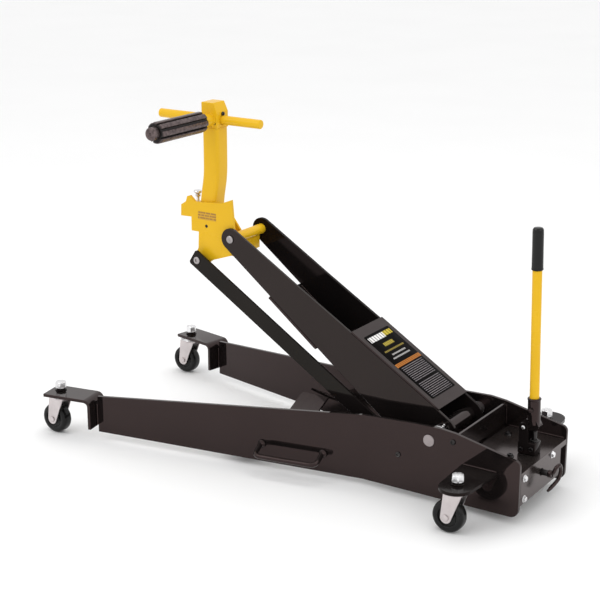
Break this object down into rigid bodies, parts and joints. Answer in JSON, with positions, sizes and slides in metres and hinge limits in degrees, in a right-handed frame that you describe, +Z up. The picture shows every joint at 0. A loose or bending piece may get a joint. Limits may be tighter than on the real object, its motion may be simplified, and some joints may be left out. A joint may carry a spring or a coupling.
{
  "type": "truck clutch jack",
  "caption": "Low rolling jack for truck clutches: splayed side rails on swivel casters, hand hydraulic pump, parallel-link lift arm, and a splined arbor with a T-bar on a tilting post.",
  "frame": {"origin": "On the floor, below the middle of the bounding box.", "axes": "+Z up; -X is the load end with the arbor, +X is the pump end; -Y is the near side that the arbor points to."},
  "size_m": [1.302, 0.6336, 0.845],
  "materials": {
    "black_paint": "high gloss black enamel",
    "yellow_paint": "semi-gloss yellow enamel",
    "zinc_steel": "bright zinc plate",
    "dark_steel": "oiled machined steel",
    "caster_wheel": "hard black rubber",
    "rubber_grip": "black dipped grip"
  },
  "bodies": {
    "truck": {"side_plate_near": "black_paint", "side_plate_far": "black_paint", "front_bracket_near": "black_paint", "front_bracket_far": "black_paint", "rear_caster_plate_near": "black_paint", "rear_caster_plate_far": "black_paint", "carry_handle_near": "black_paint", "carry_handle_far": "black_paint", "link_stub_near": "zinc_steel", "link_stub_far": "zinc_steel", "cross_brace": "black_paint", "rear_shelf": "black_paint", "transverse_plate": "black_paint", "arm_pivot_shaft": "zinc_steel", "rear_near_caster_stem_bolt": "zinc_steel", "rear_far_caster_stem_bolt": "zinc_steel", "front_near_caster_stem_bolt": "zinc_steel", "front_far_caster_stem_bolt": "zinc_steel", "pump_body": "black_paint", "lever_pivot_pin": "zinc_steel", "ram_cylinder": "black_paint"},
    "lift_arm": {"arm_plate_near": "black_paint", "arm_plate_far": "black_paint", "arm_cover_plate": "black_paint", "arm_belly_plate": "black_paint", "arm_pivot_tube": "black_paint", "arm_head_pin": "zinc_steel"},
    "lower_links": {"lower_link_near": "black_paint", "lower_link_far": "black_paint"},
    "load_bracket": {"load_bracket_near_cheek": "yellow_paint", "load_bracket_far_cheek": "yellow_paint", "load_bracket_inner_cheek": "yellow_paint", "load_bracket_web": "yellow_paint", "link_head_pin": "zinc_steel", "adjuster_lug": "yellow_paint", "post_pivot_pin": "zinc_steel"},
    "adjuster": {"adjuster_bolt": "zinc_steel"},
    "tilting_post": {"post_tube": "yellow_paint", "head_block": "yellow_paint", "t_bar": "yellow_paint"},
    "arbor": {"splined_arbor": "dark_steel"},
    "pump_lever": {"handle_socket": "black_paint"},
    "handle": {"pump_handle": "yellow_paint", "handle_grip": "rubber_grip"},
    "plunger": {"pump_plunger": "zinc_steel"},
    "ram": {"ram_rod": "dark_steel"},
    "release_valve": {"release_stem": "zinc_steel", "release_lever": "black_paint"},
    "rear_near_caster_swivel": {"rear_near_caster_fork": "zinc_steel", "rear_near_caster_axle": "zinc_steel"},
    "rear_near_caster_roller": {"rear_near_caster_wheel": "caster_wheel"},
    "rear_far_caster_swivel": {"rear_far_caster_fork": "zinc_steel", "rear_far_caster_axle": "zinc_steel"},
    "rear_far_caster_roller": {"rear_far_caster_wheel": "caster_wheel"},
    "front_near_caster_swivel": {"front_near_caster_fork": "zinc_steel", "front_near_caster_axle": "zinc_steel"},
    "front_near_caster_roller": {"front_near_caster_wheel": "caster_wheel"},
    "front_far_caster_swivel": {"front_far_caster_fork": "zinc_steel", "front_far_caster_axle": "zinc_steel"},
    "front_far_caster_roller": {"front_far_caster_wheel": "caster_wheel"}
  },
  "joints": [
    {"name": "rear_near_caster_turn", "type": "hinge", "parent": "truck", "child": "rear_near_caster_swivel", "pos_m": [0.511, -0.229, 0.1], "axis": [0, 0, 1], "continuous": true},
    {"name": "rear_near_caster_roll", "type": "hinge", "parent": "rear_near_caster_swivel", "child": "rear_near_caster_roller", "pos_m": [0.494, -0.229, 0.038], "axis": [0, 1, 0], "continuous": true},
    {"name": "rear_far_caster_turn", "type": "hinge", "parent": "truck", "child": "rear_far_caster_swivel", "pos_m": [0.511, 0.229, 0.1], "axis": [0, 0, 1], "continuous": true},
    {"name": "rear_far_caster_roll", "type": "hinge", "parent": "rear_far_caster_swivel", "child": "rear_far_caster_roller", "pos_m": [0.494, 0.229, 0.038], "axis": [0, 1, 0], "continuous": true},
    {"name": "front_near_caster_turn", "type": "hinge", "parent": "truck", "child": "front_near_caster_swivel", "pos_m": [-0.596, -0.27, 0.1], "axis": [0, 0, 1], "continuous": true},
    {"name": "front_near_caster_roll", "type": "hinge", "parent": "front_near_caster_swivel", "child": "front_near_caster_roller", "pos_m": [-0.613, -0.27, 0.038], "axis": [0, 1, 0], "continuous": true},
    {"name": "front_far_caster_turn", "type": "hinge", "parent": "truck", "child": "front_far_caster_swivel", "pos_m": [-0.596, 0.27, 0.1], "axis": [0, 0, 1], "continuous": true},
    {"name": "front_far_caster_roll", "type": "hinge", "parent": "front_far_caster_swivel", "child": "front_far_caster_roller", "pos_m": [-0.613, 0.27, 0.038], "axis": [0, 1, 0], "continuous": true},
    {"name": "arm_lift", "type": "hinge", "parent": "truck", "child": "lift_arm", "pos_m": [0.384, 0, 0.152], "axis": [0, 1, 0], "range_deg": [-30, 18]},
    {"name": "link_swing", "type": "hinge", "parent": "truck", "child": "lower_links", "pos_m": [0.29, 0, 0.088], "axis": [0, 1, 0], "range_deg": [-30.5, 18.5]},
    {"name": "bracket_level", "type": "hinge", "parent": "lift_arm", "child": "load_bracket", "pos_m": [-0.205, 0, 0.521], "axis": [0, 1, 0], "range_deg": [-18.5, 30.5]},
    {"name": "post_tilt", "type": "hinge", "parent": "load_bracket", "child": "tilting_post", "pos_m": [-0.284, -0.0284, 0.541], "axis": [0, 1, 0], "range_deg": [-6, 6]},
    {"name": "adjuster_travel", "type": "slide", "parent": "load_bracket", "child": "adjuster", "axis": [0, 0, 1], "range_m": [-0.006, 0.006]},
    {"name": "arbor_turn", "type": "hinge", "parent": "tilting_post", "child": "arbor", "pos_m": [-0.276, -0.17, 0.803], "axis": [0, 1, 0], "continuous": true},
    {"name": "pump_stroke", "type": "hinge", "parent": "truck", "child": "pump_lever", "pos_m": [0.562, 0, 0.186], "axis": [0, 1, 0], "range_deg": [0, 35]},
    {"name": "handle_lift_out", "type": "slide", "parent": "pump_lever", "child": "handle", "axis": [-0.0279, 0, 0.9996], "range_m": [0, 0.06]},
    {"name": "plunger_travel", "type": "slide", "parent": "truck", "child": "plunger", "axis": [0, 0, -1], "range_m": [-0.0005, 0.0142]},
    {"name": "ram_stroke", "type": "slide", "parent": "truck", "child": "ram", "axis": [-1, 0, 0], "range_m": [-0.033, 0.02]},
    {"name": "release_turn", "type": "hinge", "parent": "truck", "child": "release_valve", "pos_m": [0.61, -0.012, 0.088], "axis": [1, 0, 0], "range_deg": [0, 90]}
  ],
  "couplings": [
    {"joint": "link_swing", "follows": "arm_lift", "ratio": 1},
    {"joint": "bracket_level", "follows": "arm_lift", "ratio": -1},
    {"joint": "ram_stroke", "follows": "arm_lift", "m_per_rad": 0.062},
    {"joint": "adjuster_travel", "follows": "post_tilt", "m_per_rad": 0.048},
    {"joint": "plunger_travel", "follows": "pump_stroke", "m_per_rad": 0.0225}
  ]
}
